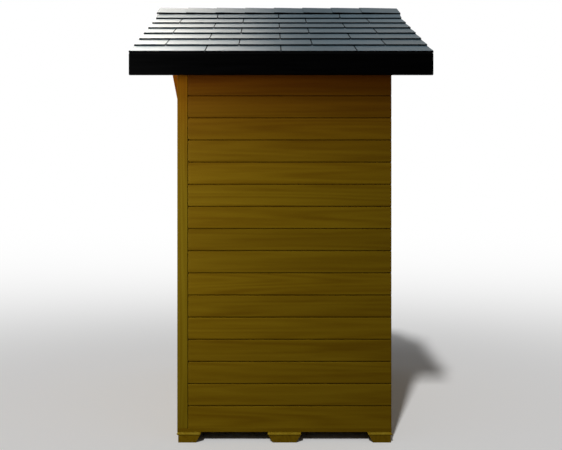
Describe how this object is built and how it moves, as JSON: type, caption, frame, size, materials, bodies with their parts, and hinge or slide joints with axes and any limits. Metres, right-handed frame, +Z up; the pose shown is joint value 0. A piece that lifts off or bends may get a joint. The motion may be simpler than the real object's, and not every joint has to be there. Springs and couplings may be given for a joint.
{
  "type": "outdoor sauna cabin",
  "caption": "Small timber-clad outdoor sauna on cross bearers, with corner posts at the front, a plain door and a shingled gable roof with deep black eave boards.",
  "frame": {"origin": "on the ground, under the middle of the roof", "axes": "+Z up; -Y is the front, with the door; +X and -X are the side walls under the eaves"},
  "size_m": [2.43, 1.612, 2.6526],
  "materials": {
    "stained_wood": "satin olive-brown stain on planed softwood boards",
    "bare_timber": "planed, untreated",
    "roof_shingle": "semi-gloss slate-grey shingles",
    "black_fascia": "opaque matt black paint",
    "hinge_steel": "brushed"
  },
  "bodies": {
    "root": {"bearer_front": "stained_wood", "bearer_middle": "stained_wood", "bearer_rear": "stained_wood", "bearer_plate_front": "stained_wood", "bearer_plate_middle": "stained_wood", "bearer_plate_rear": "stained_wood", "floor_deck": "stained_wood", "right_wall_frame": "bare_timber", "left_wall_frame": "bare_timber", "rear_wall_frame": "bare_timber", "front_wall_frame_right": "bare_timber", "front_wall_frame_left": "bare_timber", "front_wall_frame_over_door": "bare_timber", "right_cladding": "stained_wood", "left_cladding": "stained_wood", "rear_cladding": "stained_wood", "front_cladding_right": "stained_wood", "front_cladding_left": "stained_wood", "front_cladding_over_door": "stained_wood", "front_post_right": "stained_wood", "front_post_left": "stained_wood", "door_frame_right": "stained_wood", "door_frame_left": "stained_wood", "door_frame_head": "stained_wood", "door_threshold": "stained_wood", "door_leaf": "stained_wood", "door_hinges": "hinge_steel", "door_handle_bar": "stained_wood", "door_handle_standoffs": "stained_wood", "ridge_beam": "stained_wood", "eave_purlin_right": "stained_wood", "eave_purlin_left": "stained_wood", "roof_deck_right": "stained_wood", "roof_deck_left": "stained_wood", "roof_covering_right": "roof_shingle", "roof_covering_left": "roof_shingle", "ridge_cap": "roof_shingle", "eave_fascia_right": "black_fascia", "eave_fascia_left": "black_fascia"}
  },
  "joints": []
}
